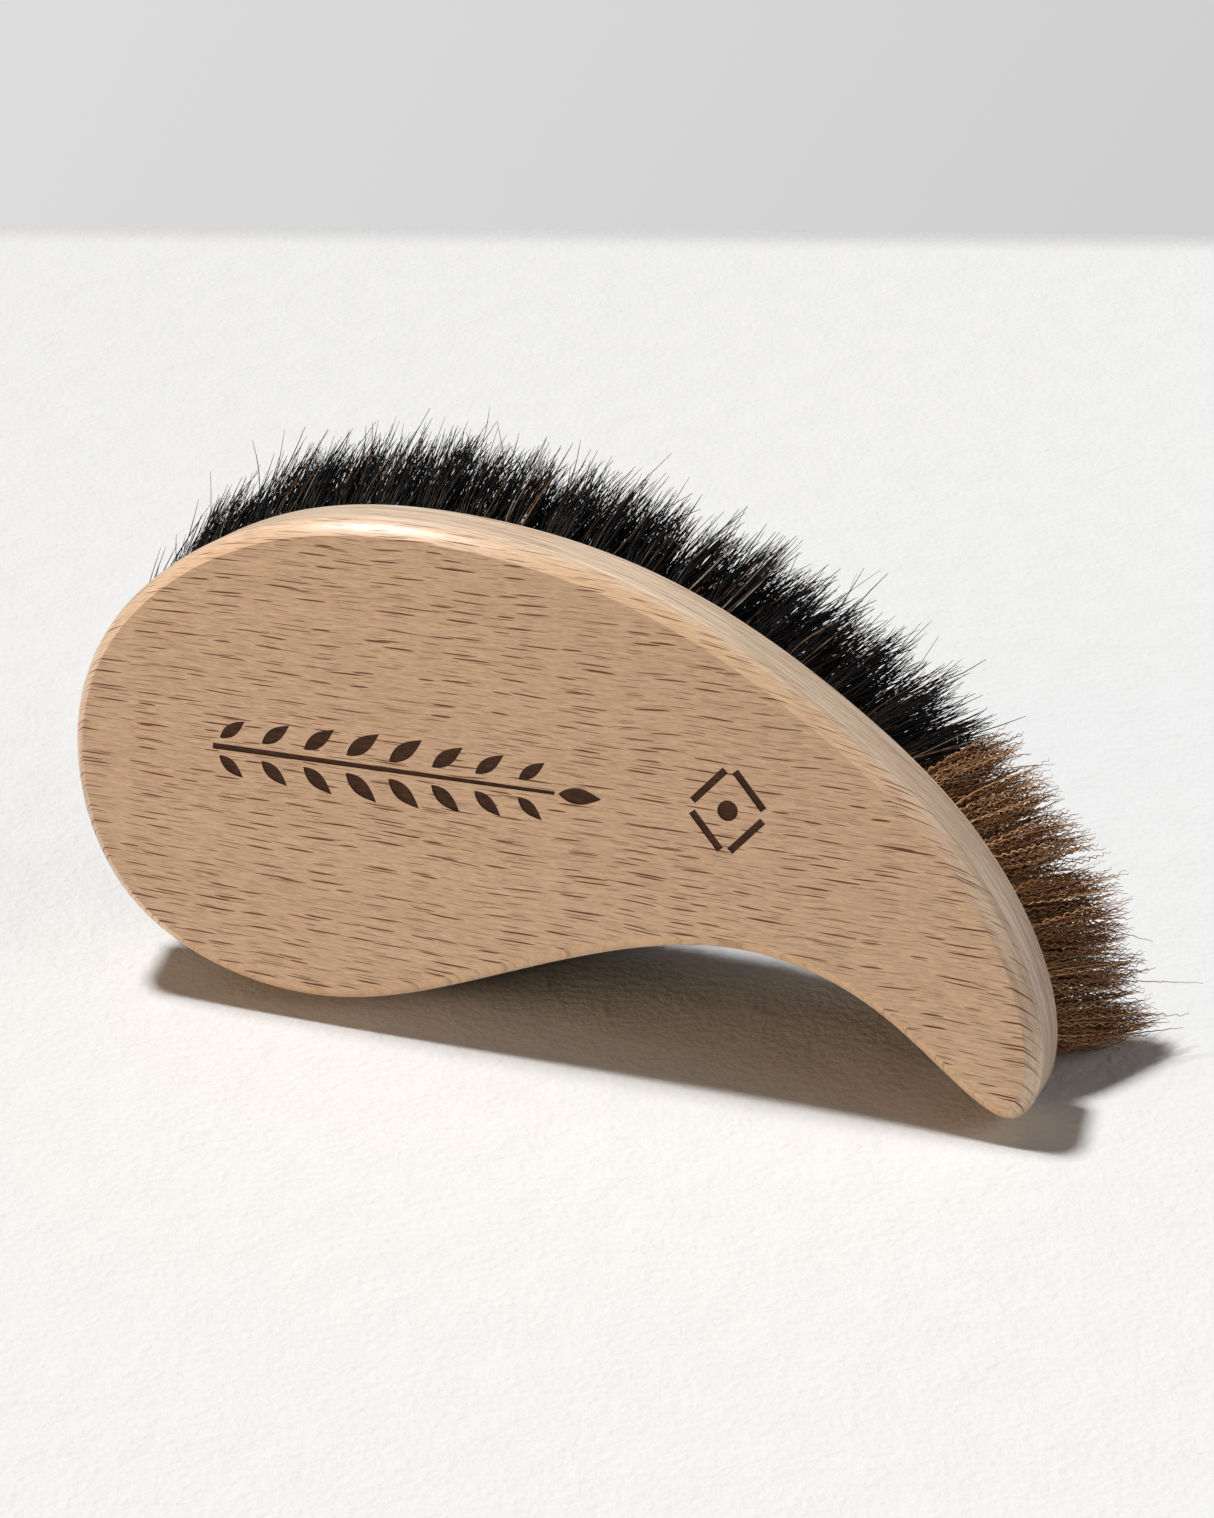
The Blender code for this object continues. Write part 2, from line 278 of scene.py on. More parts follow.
RAY_DEPTHS = (0.0040, 0.0008)        # on the wall, deeper than the first of these depths,
RAYS_ON_WALL = 0.40                  # this share of the rays' darkness is left
TURNED_UNDER = (-0.30, -0.62)        # and where the normal's part along Z is lower than these,
RAYS_UNDER = 0.35                    # on the edge that turns under, this share of that

# ---------------------------------------------------------------- stage, lights and camera

CAMERA_AT = (0.220128, -0.513807, 0.353820)       # from the origin of the block's axes
CAMERA_TURN = (60.99885, -0.05912, 17.97798)      # degrees
CAMERA_LENS = 94.86
CAMERA_SENSOR = 36.0
CAMERA_CLIP = (0.01, 50.0)
FLOOR_TURN = math.radians(16.9)
FLOOR_BACK = 0.3514                  # from below the origin of the block's axes to the far edge
FLOOR_REACH = 4.0
FLOOR_DEPTH = 0.5
FLOOR_ROUND = 0.006
FLOOR_ROUND_STEPS = 8
FAR_EDGE_FADE = (-0.012, 0.001)      # its colour takes over between these, from FLOOR_BACK
FAR_EDGE_SIDES = (-0.20, 0.20)       # over this width its left colour turns into its right one
BACKDROP_AWAY = 1.9                  # from the frame's origin
BACKDROP_HALF = 5.0
BACKDROP_HEIGHTS = (-2.0, 4.0)
BACKDROP_FADE = (-0.6, 1.2)          # across the backdrop, from its pale side to its deep one
BACKDROP_SLANT = -0.6
WORLD_COLOUR = (0.95, 0.97, 1.0)
WORLD_STRENGTH = 0.02
SUN_FROM = (-0.45, 0.23, 1.0)
SUN_STRENGTH = 3.44
SUN_COLOUR = (1.0, 0.995, 0.985)
SUN_ANGLE = math.radians(8.0)
# Soft rectangular lights: name, strength, colour, place and size
FILLS = [
    ("front_fill", 7.2, (1.0, 0.66, 0.40), (-1.0, -1.25, 0.40), (1.2, 0.6)),
    ("side_fill", 4.4, (1.0, 0.95, 0.90), (1.3, 0.1, 0.7), (1.0, 0.6)),
]
FILL_TARGET = (0.0, 0.0, 0.03)

# ---------------------------------------------------------------- outline


def closed_spline(points, steps):
    """Smooth closed curve through the points, as steps samples in each span."""
    pts = np.array(points)
    count = len(pts)
    knots = np.sqrt(np.linalg.norm(np.roll(pts, -1, axis=0) - pts, axis=1))
    matrix = np.zeros((count, count))
    right_side = np.zeros((count, 2))
    for i in range(count):
        before, after = knots[i - 1], knots[i]
        matrix[i, i - 1] = after
        matrix[i, i] = 2.0 * (before + after)
        matrix[i, (i + 1) % count] = before
        rise_before = (pts[i] - pts[i - 1]) / before
        rise_after = (pts[(i + 1) % count] - pts[i]) / after
        right_side[i] = 3.0 * (after * rise_before + before * rise_after)
    slopes = np.linalg.solve(matrix, right_side)
    curve = []
    for i in range(count):
        j = (i + 1) % count
        for step in range(steps):
            t = step / steps
            curve.append(
                (2 * t**3 - 3 * t**2 + 1) * pts[i]
                + (t**3 - 2 * t**2 + t) * knots[i] * slopes[i]
                + (3 * t**2 - 2 * t**3) * pts[j]
                + (t**3 - t**2) * knots[i] * slopes[j]
            )
    return np.array(curve)


def outward_normals(curve):
    """Unit normals of a clockwise closed curve, pointing out of it."""
    along = np.roll(curve, -1, axis=0) - np.roll(curve, 1, axis=0)
    normals = np.stack([-along[:, 1], along[:, 0]], axis=1)
    return normals / np.linalg.norm(normals, axis=1)[:, None]


# ---------------------------------------------------------------- tufts, from the CAD solids


def tuft_centres(node):
    """Where the tufts of a CAD node stand: the middles of its lowest root ends, X and Z."""
    points = np.array([tuple(TO_BLOCK @ v.co) for v in frame["nodes"][node].data.vertices])
    ends = points[points[:, 1] < points[:, 1].min() + END_TOLERANCE]
    centres = []
    while len(ends):
        near = np.linalg.norm(ends[:, (0, 2)] - ends[0, (0, 2)], axis=1) < 2.0 * HOLE_RADIUS
        corners = np.unique(ends[near][:, (0, 2)].round(5), axis=0)
        centres.append(corners.mean(axis=0))
        ends = ends[~near]
    return np.array(centres)


# ---------------------------------------------------------------- meshes


def new_object(name, data):
    """A new object in the scene, for a mesh, a light or a camera."""
    obj = bpy.data.objects.new(name, data)
    bpy.context.scene.collection.objects.link(obj)
    return obj


def new_mesh(name, bm):
    """Mesh from a bmesh, which is used up."""
    mesh = bpy.data.meshes.new(name)
    bm.to_mesh(mesh)
    bm.free()
    return mesh


def bridge_rings(bm, rings):
    """Join closed rings of the same length with quads, and cap both ends."""
    for lower, upper in zip(rings, rings[1:]):
        for i in range(len(lower)):
            j = (i + 1) % len(lower)
            bm.faces.new((lower[i], lower[j], upper[j], upper[i]))
    bm.faces.new(rings[0])
    bm.faces.new(reversed(rings[-1]))


def extrude_loop(bm, loop, depths, slot):
    """A straight solid along Y with this outline, (x, z) points, in one material slot."""
    before = len(bm.faces)
    rings = [[bm.verts.new((x, depth, z)) for x, z in loop] for depth in depths]
    bridge_rings(bm, rings)
    bm.faces.ensure_lookup_table()
    for face in bm.faces[before:]:
        face.material_index = slot


def round_loop(centre, radius, sides):
    """Points of a circle, (x, z)."""
    turns = [2.0 * math.pi * k / sides for k in range(sides)]
    return [(centre[0] + radius * math.cos(t), centre[1] + radius * math.sin(t)) for t in turns]


def block_rings():
    """Outlines of the block from its flat face to its back: (points, depth)."""
    curve = closed_spline(OUTLINE, OUTLINE_STEPS)
    normals = outward_normals(curve)
    shoulder = ROUND_WIDTH * math.tan(ROUND_START)
    layers = [(ROUND_WIDTH + FACE_SUPPORT, 0.0)]
    for step in range(ROUND_STEPS + 1):
        t = step / ROUND_STEPS
        depth = 2.0 * t * (1.0 - t) * shoulder + t**2 * ROUND_DEPTH
        layers.append((ROUND_WIDTH * (1.0 - t) ** 2, depth))
    for step in range(BEVEL_STEPS + 1):
        turn = 0.5 * math.pi * step / BEVEL_STEPS
        inset = REAR_BEVEL * (1.0 - math.cos(turn))
        layers.append((inset, THICKNESS - REAR_BEVEL * (1.0 - math.sin(turn))))
    layers.append((REAR_BEVEL + FACE_SUPPORT, THICKNESS))
    for inset, depth in layers:
        yield curve - normals * inset, depth


def apply_boolean(obj, cutter):
    """Cut the cutter's solids out of obj, which takes over their materials, and remove it."""
    modifier = obj.modifiers.new("cut", "BOOLEAN")
    modifier.operation = "DIFFERENCE"
    modifier.solver = "EXACT"
    modifier.material_mode = "TRANSFER"
    modifier.object = cutter
    bpy.context.view_layer.update()
    depsgraph = bpy.context.evaluated_depsgraph_get()
    obj.data = bpy.data.meshes.new_from_object(obj.evaluated_get(depsgraph))
    obj.modifiers.clear()
    bpy.data.objects.remove(cutter, do_unlink=True)


# ---------------------------------------------------------------- decoration


def turned(points, centre, tilt):
    """These (x, z) points, turned by tilt and moved to the centre."""
    c, s = math.cos(tilt), math.sin(tilt)
    return [(centre[0] + c * x - s * z, centre[1] + s * x + c * z) for x, z in points]


def leaf_loop(length, width):
    """A pointed leaf along +X from its foot at the origin."""
    upper = []
    for k in range(LEAF_STEPS + 1):
        share = k / LEAF_STEPS
        upper.append((length * share, 0.5 * width * math.sin(math.pi * share**LEAF_BELLY)))
    lower = [(x, -z) for x, z in reversed(upper[1:-1])]
    return upper + lower


def sprig_loops():
    """A straight stem with pairs of leaves, and one leaf at its end."""
    half = 0.5 * STEM_WIDTH
    end = STEM_TAPER * half
    stem = SPRIG_LENGTH - LEAF_LENGTH - LEAF_GAP
    loops = [[(0.0, -half), (stem, -end), (stem, end), (0.0, half)]]
    for pair in range(LEAF_PAIRS):
        middle = stem * (pair + SIDE_LEAF_PLACE) / LEAF_PAIRS
        foot = middle - 0.5 * LEAF_LENGTH * math.cos(LEAF_TILT)
        to_end = abs(2.0 * pair / (LEAF_PAIRS - 1) - 1.0)
        growth = 1.0 - (1.0 - SMALLEST_LEAF) * to_end
        for side in (1.0, -1.0):
            leaf = leaf_loop(LEAF_LENGTH * growth, LEAF_WIDTH * growth)
            loops.append(turned(leaf, (foot, side * (half + SIDE_LEAF_GAP)), side * LEAF_TILT))
    loops.append(turned(leaf_loop(LEAF_LENGTH, LEAF_WIDTH), (stem + LEAF_GAP, 0.0), 0.0))
    return [turned(loop, SPRIG_START, SPRIG_TILT) for loop in loops]


def lozenge_loops():
    """Four bars in a lozenge, with a round dot inside."""
    across, up = LOZENGE_SIZE
    corners = [(across, 0.0), (0.0, up), (-across, 0.0), (0.0, -up)]
    loops = []
    for k in range(4):
        a, b = Vector(corners[k]), Vector(corners[(k + 1) % 4])
        along = (b - a).normalized()
        side = Vector((-along.y, along.x)) * 0.5 * LOZENGE_WIDTH
        a, b = a + along * LOZENGE_GAP, b - along * LOZENGE_GAP
        loops.append([tuple(p) for p in (a - side, b - side, b + side, a + side)])
    loops.append(round_loop((0.0, 0.0), DOT_RADIUS, DOT_SIDES))
    return [turned(loop, LOZENGE_CENTRE, SPRIG_TILT) for loop in loops]


# ---------------------------------------------------------------- materials


class Tree:
    """Builds one material. A value is a number, a colour (r, g, b) or a socket."""

    def __init__(self, name):
        self.material = bpy.data.materials.new(name)
        self.material.use_nodes = True
        self.nodes = self.material.node_tree.nodes
        self.links = self.material.node_tree.links
        self.shader = self.nodes["Principled BSDF"]

    def put(self, socket, value):
        if isinstance(value, bpy.types.NodeSocket):
            self.links.new(value, socket)
        elif isinstance(value, tuple):
            socket.default_value = (*value, 1.0)
        else:
            socket.default_value = value

    def surface(self, values):
        """Give the shader these values, by the names of its inputs, and return the material."""
        for name, value in values.items():
            self.put(self.shader.inputs[name], value)
        return self.material

    def node(self, kind, settings=None, inputs=None):
        made = self.nodes.new("ShaderNode" + kind)
        for name, value in (settings or {}).items():
            setattr(made, name, value)
        for name, value in (inputs or {}).items():
            self.put(made.inputs[name], value)
        return made

    def maths(self, operation, *values, clamp=False):
        inputs = dict(enumerate(values))
        return self.node("Math", {"operation": operation, "use_clamp": clamp}, inputs).outputs[0]

    def span(self, value, low, high):
        """Low where value is 0, high where it is 1."""
        return self.maths("MULTIPLY_ADD", value, high - low, low)

    def swing(self, value, amount, middle, clamp=False):
        """The middle, moved by a value that swings about 0.5."""
        about_zero = self.maths("SUBTRACT", value, 0.5)
        return self.maths("MULTIPLY_ADD", about_zero, amount, middle, clamp=clamp)

    def fade(self, value, start, end):
        """0 where value is at start, 1 where it is at end, smooth between."""
        inputs = {"Value": value, "From Min": start, "From Max": end}
        return self.node("MapRange", {"interpolation_type": "SMOOTHSTEP"}, inputs).outputs[0]

    def vector(self, x, y, z):
        return self.node("CombineXYZ", None, {"X": x, "Y": y, "Z": z}).outputs[0]

    def split(self, vector):
        parts = self.node("SeparateXYZ", None, {"Vector": vector}).outputs
        return parts["X"], parts["Y"], parts["Z"]

    def place(self):
        """The point's X, Y and Z in the piece's own axes."""
        return self.split(self.node("TexCoord").outputs["Object"])

    def facing(self):
        """The surface normal's X, Y and Z in the piece's own axes."""
        return self.split(self.node("TexCoord").outputs["Normal"])

    def noise(self, place, per_metre, detail, roughness):
        """One of the noise patterns at this place, three values."""
        scaled = [self.maths("MULTIPLY", part, rate) for part, rate in zip(place, per_metre)]
        inputs = {
            "Vector": self.vector(*scaled), "Scale": 1.0, "Detail": detail, "Roughness": roughness
        }
        return self.node("TexNoise", None, inputs).outputs["Fac"]

    def mix(self, share, first, second, blend="MIX"):
        made = self.node("Mix", {"data_type": "RGBA", "blend_type": blend})
        for slot, value in ((0, share), (6, first), (7, second)):
            self.put(made.inputs[slot], value)
        return made.outputs[2]

    def ramp(self, value, stops):
        made = self.node("ValToRGB", None, {"Fac": value})
        elements = made.color_ramp.elements
        while len(elements) < len(stops):
            elements.new(0.5)
        for element, (position, colour) in zip(elements, stops):
            element.position = position
            element.color = (*colour, 1.0)
        return made.outputs["Color"]

    def bump(self, height, distance, strength):
        inputs = {"Height": height, "Distance": distance, "Strength": strength}
        return self.node("Bump", None, inputs).outputs["Normal"]


def flecks(tree, across, along, cell_along, cell_across, longest, half_width, keep):
    """Short dark lens-shaped rays, one in each cell of a stretched pattern: 0 to 1."""
    scaled = tree.vector(
        tree.maths("DIVIDE", along, cell_along), tree.maths("DIVIDE", across, cell_across), 0.0
    )
    cells = tree.node(
        "TexVoronoi",
        {"voronoi_dimensions": "2D", "feature": "F1"},
        {"Vector": scaled, "Scale": 1.0, "Randomness": RAY_SCATTER},
    )
    from_middle = tree.node(
        "VectorMath", {"operation": "SUBTRACT"}, {0: scaled, 1: cells.outputs["Position"]}
    ).outputs[0]
    cells_along, cells_across, _ = tree.split(from_middle)
    chance = tree.node("SeparateColor", None, {"Color": cells.outputs["Color"]}).outputs
    half_length = tree.maths("MULTIPLY", longest, tree.span(chance[0], *RAY_LENGTHS))
    to_end = tree.maths("DIVIDE", tree.maths("MULTIPLY", cells_along, cell_along), half_length)
    to_side = tree.maths("ABSOLUTE", tree.maths("MULTIPLY", cells_across, cell_across))
    narrowing = tree.maths("POWER", tree.maths("ABSOLUTE", to_end), RAY_BLUNTNESS)
    lens = tree.maths("SUBTRACT", 1.0, narrowing)
    width = tree.maths("MULTIPLY", half_width, tree.span(chance[1], *RAY_WIDTHS))
    inside = tree.maths("SUBTRACT", tree.maths("MULTIPLY", lens, width), to_side)
    mask = tree.fade(inside, 0.0, RAY_EDGE)
    strength = tree.fade(chance[2], 1.0 - keep, 1.0 - 0.5 * keep)
    return tree.maths("MULTIPLY", mask, strength)


def ray_layers(tree, x, across, layers, shift):
    """The darkest of several layers of rays, each shifted from the one before."""
    total = 0.0
    for number, layer in enumerate(layers):
        along = tree.maths("ADD", x, shift + LAYER_SHIFT[0] * number)
        beside = tree.maths("ADD", across, shift + LAYER_SHIFT[1] * number)
        total = tree.maths("MAXIMUM", total, flecks(tree, beside, along, *layer))
    return total


def across_grain(tree, x, y, z):
    """Distance across the grain, which spreads, wanders and slopes into the board."""
    spread = tree.maths("MULTIPLY_ADD", x, GRAIN_SPREAD, 1.0)
    across = tree.maths("DIVIDE", tree.maths("SUBTRACT", z, GRAIN_AXIS), spread)
    across = tree.swing(tree.noise((x, across, y), *WANDER), WANDER_REACH, across)
    return tree.maths("MULTIPLY_ADD", y, SHEET_SLOPE, across)


def beech_rays(tree, x, y, across, facing_up):
    """How dark the rays are, 0 to 1: fainter on the wall, and where the edge turns under."""
    shown = tree.span(tree.fade(y, *RAY_DEPTHS), RAYS_ON_WALL, 1.0)
    under = tree.span(tree.fade(facing_up, *TURNED_UNDER), 1.0, RAYS_UNDER)
    shown = tree.maths("MULTIPLY", shown, under)
    strong = tree.maths("MULTIPLY", ray_layers(tree, x, across, STRONG_RAYS, 0.0), shown)
    faint = tree.maths("MULTIPLY", ray_layers(tree, x, across, FAINT_RAYS, FAINT_SHIFT), shown)
    strong = tree.maths("MULTIPLY", strong, RAY_DARKNESS[0])
    faint = tree.maths("MULTIPLY", faint, RAY_DARKNESS[1])
    return tree.maths("MAXIMUM", strong, faint)


def wall_tone(tree, x, y, z, pores):
    """Tone of the wall, where the board's year layers come out: 0 deep, 1 pale."""
    layer = tree.maths("MULTIPLY_ADD", x, LAYER_SLOPE[0], y)
    layer = tree.maths("MULTIPLY_ADD", z, LAYER_SLOPE[1], layer)
    tone = tree.swing(tree.noise((x, layer, z), *YEAR_LAYERS), WALL_SWINGS[0], WALL_TONE)
    return tree.swing(pores, WALL_SWINGS[1], tone, clamp=True)


def make_beech():
    """Beech with its dark rays: a flat face with long grain, and a paler wall."""
    tree = Tree("beech_wood")
    x, y, z = tree.place()
    facing_x, facing_y, facing_z = tree.facing()
    across = across_grain(tree, x, y, z)
    pores = tree.noise((x, across, y), *PORES)
    streaks = tree.noise((x, across, y), *STREAKS)
    bands = tree.noise((x, across, y), *BANDS)
    tone = tree.swing(pores, FACE_SWINGS[0], FACE_TONE)
    tone = tree.swing(streaks, FACE_SWINGS[1], tone)
    tone = tree.swing(bands, FACE_SWINGS[2], tone, clamp=True)
    face_colour = tree.mix(tone, BEECH_DEEP, BEECH_PALE)
    edge_tone = wall_tone(tree, x, y, z, pores)
    edge_colour = tree.mix(edge_tone, EDGE_DEEP, EDGE_PALE)
    end_colour = tree.mix(edge_tone, END_DEEP, END_PALE)
    # The wall is paler than the face, and grey-brown where it cuts across the grain at the block's
    # ends: partly the end grain's own colour, partly painted shade
    to_end = tree.maths("ABSOLUTE", facing_x)
    to_face = tree.maths("MULTIPLY", facing_y, -1.0)
    wall_colour = tree.mix(tree.fade(to_end, *EDGE_TO_END), edge_colour, end_colour)
    colour = tree.mix(tree.fade(to_face, *FACE_TO_WALL), face_colour, wall_colour)
    # The ends' grey-brown, with its painted shade, also reaches over the rounded edge there
    at_end = tree.maths("MULTIPLY", tree.fade(to_end, *END_OVER_ALL), END_SHARE)
    colour = tree.mix(at_end, colour, end_colour)
    # The rounded edge is warmer, except at the block's ends
    rim = tree.maths("MULTIPLY", tree.fade(to_face, *RIM_STARTS), tree.fade(to_face, *RIM_STOPS))
    rim = tree.maths("MULTIPLY", rim, tree.fade(to_end, *RIM_NOT_AT_ENDS))
    colour = tree.mix(tree.maths("MULTIPLY", rim, RIM_SHARE), colour, BEECH_WARM)
    # Rays are duller than the wood around them, and lie a little deeper
    rays = beech_rays(tree, x, y, across, facing_z)
    roughness = tree.span(streaks, *BEECH_ROUGHNESS)
    roughness = tree.maths("MULTIPLY_ADD", rays, RAY_ROUGHNESS, roughness, clamp=True)
    height = tree.maths("MULTIPLY_ADD", streaks, BEECH_RELIEF[0], pores)
    height = tree.maths("MULTIPLY_ADD", rays, BEECH_RELIEF[1], height)
    return tree.surface({
        "Base Color": tree.mix(rays, colour, FLECK),
        "Roughness": roughness,
        "Specular IOR Level": tree.span(rays, *BEECH_SPECULAR),
        "Normal": tree.bump(height, BEECH_BUMP, 0.6),
    })


def make_char():
    """The burned floor of the decoration: nearly black-brown, with the grain showing."""
    tree = Tree("burned_beech")
    x, y, z = tree.place()
    streaks = tree.noise((x, across_grain(tree, x, y, z), y), *CHAR_STREAKS)
    blotches = tree.noise((x, z, y), *CHAR_BLOTCHES)
    tone = tree.swing(streaks, CHAR_SWING, blotches, clamp=True)
    return tree.surface({
        "Base Color": tree.mix(tone, CHAR, CHAR_PALE),
        "Roughness": 0.62,
        "Specular IOR Level": 0.3,
        "Normal": tree.bump(streaks, CHAR_BUMP, 0.8),
    })


def make_fibre(kind):
    """Each strand has its own shade, darker stretches, and a tip that turns to the tip colour."""
    tree = Tree(kind["material"])
    x, y, z = tree.place()
    strand = tree.node("NewGeometry").outputs["Random Per Island"]
    colour = tree.ramp(strand, kind["shades"])
    specks = tree.noise((x, y, z), *STRAND_SPECKS)
    shaded = tree.mix(1.0, colour, STRAND_SHADE, "MULTIPLY")
    colour = tree.mix(tree.fade(specks, *SPECK_FADE), colour, shaded)
    smooth, rough = (kind["roughness"] + side * ROUGHNESS_SPREAD for side in (-1.0, 1.0))
    start, end = (THICKNESS + share * HAIR_LENGTH for share in TIP_FADE)
    at_tip = tree.maths("MULTIPLY", tree.fade(y, start, end), TIP_SHARE)
    return tree.surface({
        "Base Color": tree.mix(at_tip, colour, kind["tip"]),
        "Roughness": tree.span(specks, smooth, rough),
        "Specular IOR Level": kind["specular"],
    })


# ---------------------------------------------------------------- wooden block


def make_block(centres, beech, char):
    """The wooden block, with its drilled holes and its burned-in decoration."""
    bm = bmesh.new()
    rings = []
    for points, depth in block_rings():
        rings.append([bm.verts.new((x, depth, z)) for x, z in points])
    bridge_rings(bm, rings)
    bmesh.ops.recalc_face_normals(bm, faces=bm.faces)
    block = new_object("wooden_block", new_mesh("wooden_block", bm))
    cuts = bmesh.new()
    for centre in centres:
        loop = round_loop(centre, HOLE_RADIUS, HOLE_SIDES)
        extrude_loop(cuts, loop, (THICKNESS - HOLE_DEPTH, THICKNESS + HOLE_CUT_BEYOND), 0)
    for loop in sprig_loops() + lozenge_loops():
        extrude_loop(cuts, loop, (-BURN_CUT_BEYOND, BURN_DEPTH), 1)
    bmesh.ops.recalc_face_normals(cuts, faces=cuts.faces)
    cutter = new_object("cuts", new_mesh("cuts", cuts))
    for material in (beech, char):
        block.data.materials.append(material)
        cutter.data.materials.append(material)
    apply_boolean(block, cutter)
    block.data.shade_smooth()
    block.data.set_sharp_from_angle(angle=SHARP_ANGLE)
    block.matrix_world = TO_WORLD
    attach(block, "root")
    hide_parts("wood_block")


# ---------------------------------------------------------------- hair


def floor_height(points):
    """Height above the floor of points in the block's axes."""
    rows = np.array(TO_WORLD)[2]
    return points @ rows[:3] + rows[3]


def lift_off_floor(points, gap):
    """Bend hair that would go under the floor so that it lies along it, at this gap."""
    up = np.array(TO_BLOCK.to_3x3() @ Vector((0.0, 0.0, 1.0)))
    above = floor_height(points) - gap
    lifted = FLOOR_SOFTNESS * np.logaddexp(0.0, above / FLOOR_SOFTNESS)
    return points + (lifted - above)[..., None] * up


def disc_points(rng, count):
    """Points spread evenly over a disc of radius 1."""
    turn = rng.uniform(0.0, 2.0 * math.pi, count)
    out = np.sqrt(rng.uniform(0.0, 1.0, count))
    return np.stack([out * np.cos(turn), out * np.sin(turn)], axis=1)


def fan_lean(places):
    """Lean of the hair at these places, along and up the block: it fans out from one point."""
    lean = (places - np.array(FAN_CENTRE)) @ np.array([FAN_ALONG, FAN_UP]).T
    lean[:, 0] = np.where(lean[:, 0] < 0.0, FAN_TO_BULB * lean[:, 0], lean[:, 0])
    return lean


def plan_hairs(centres, kind, rng):
    """Each hair's tuft centre, its place and its lock's place in the tuft, length, lean, stray."""
    per_tuft, locks, tufts = kind["hairs"], kind["locks"], len(centres)
    hairs = tufts * per_tuft
    place = disc_points(rng, hairs)
    lock = np.repeat(np.arange(tufts), per_tuft) * locks + rng.integers(0, locks, hairs)
    lock_place = disc_points(rng, tufts * locks)[lock]
    lock_lean = rng.normal(0.0, kind["lock_lean"], (tufts * locks, 2))[lock]
    lock_length = rng.normal(1.0, kind["lock_length"], tufts * locks)[lock]
    centre = np.repeat(np.array(centres), per_tuft, axis=0)
    tuft_lean = np.repeat(rng.normal(0.0, kind["tuft_lean"], (tufts, 2)), per_tuft, axis=0)
    tuft_length = np.repeat(rng.normal(1.0, kind["tuft_length"], tufts), per_tuft)
    own_length = 1.0 + rng.normal(0.0, kind["uneven"], hairs)
    length = kind["length"] * tuft_length * lock_length * own_length
    stray = rng.random(hairs) < kind["strays"]
    length = length * np.where(stray, rng.uniform(*STRAY_LENGTH, hairs), 1.0)
    own_lean = rng.normal(0.0, kind["hair_lean"], (hairs, 2))
    own_lean = own_lean * np.where(stray, STRAY_LEAN, 1.0)[:, None]
    lean = fan_lean(centre) + tuft_lean + lock_lean + own_lean
    return centre, place, lock_place, length, lean, stray


def crimp(free, hairs, kind, rng):
    """Sideways waves of crimped fibre, for each hair at each length out of the block."""
    wave = kind["wave"] * (1.0 + rng.normal(0.0, CRIMP_SPREAD, hairs))
    phase = rng.uniform(0.0, 2.0 * math.pi, (hairs, 2))
    swing = kind["crimp"] * np.clip(free / CRIMP_START, 0.0, 1.0)
    angle = 2.0 * math.pi * free / wave[:, None]
    heading = rng.uniform(0.0, math.pi, hairs)
    side = np.stack([np.cos(heading), np.sin(heading)], axis=1)
    second_swing, second_rate = SECOND_WAVE
    second = second_swing * np.sin(second_rate * angle + phase[:, 1:])
    wobble = np.sin(angle + phase[:, :1]) + second
    return side[:, None, :] * (swing * wobble)[..., None]


def strand_paths(centres, kind, rng):
    """Centrelines and radii of all hairs of a pack: arrays (hairs, steps, 3) and (hairs, steps)."""
    centre, place, lock_place, length, lean, stray = plan_hairs(centres, kind, rng)
    hairs = len(length)
    reach = np.linspace(0.0, 1.0, kind["steps"] + 1)
    start = -kind["root"]
    along = start + (length[:, None] - start) * reach[None, :]
    free = np.clip(along, 0.0, None)
    share = free / HAIR_LENGTH
    slope = 1.0 / np.sqrt(1.0 + (lean**2).sum(axis=1))
    depth = np.where(along < 0.0, along, free * slope[:, None])
    # The tuft opens as it leaves its hole, and its locks draw together towards their tips
    open_share = 1.0 - np.exp(-free / kind["open_over"])
    radius = kind["foot"] + (kind["spread"] - kind["foot"]) * open_share
    drawn = (kind["draw"] * np.clip(share, 0.0, 1.0) ** DRAW_POWER)[..., None]
    offset = place[:, None, :] * (1.0 - drawn) + lock_place[:, None, :] * drawn
    across = centre[:, None, :] + offset * radius[..., None]
    across = across + lean[:, None, :] * np.clip(depth, 0.0, None)[..., None]
    bend = rng.normal(0.0, kind["bend"], (hairs, 2)) * np.where(stray, STRAY_BEND, 1.0)[:, None]
    across = across + bend[:, None, :] * (share**BEND_POWER)[..., None]
    points = np.stack([across[..., 0], THICKNESS + depth, across[..., 1]], axis=-1)
    layer = rng.uniform(0.0, RESTING_LAYER, hairs)[:, None]
    layer = layer * np.clip(share / RESTING_BY, 0.0, 1.0)
    points = lift_off_floor(points, FLOOR_GAP + layer)
    if kind["crimp"]:
        points[..., (0, 2)] += crimp(free, hairs, kind, rng)
    thick = kind["thickness"] * (1.0 + rng.normal(0.0, THICKNESS_SPREAD, hairs))
    to_tip = np.clip((reach - TAPER_START) / (1.0 - TAPER_START), 0.0, 1.0)
    taper = 1.0 - TAPER_LOSS * to_tip**TAPER_POWER
    return points, thick[:, None] * taper[None, :]


def unit(vectors):
    """These vectors, an array (hairs, steps, 3), at length 1."""
    return vectors / (np.linalg.norm(vectors, axis=2, keepdims=True) + 1e-12)


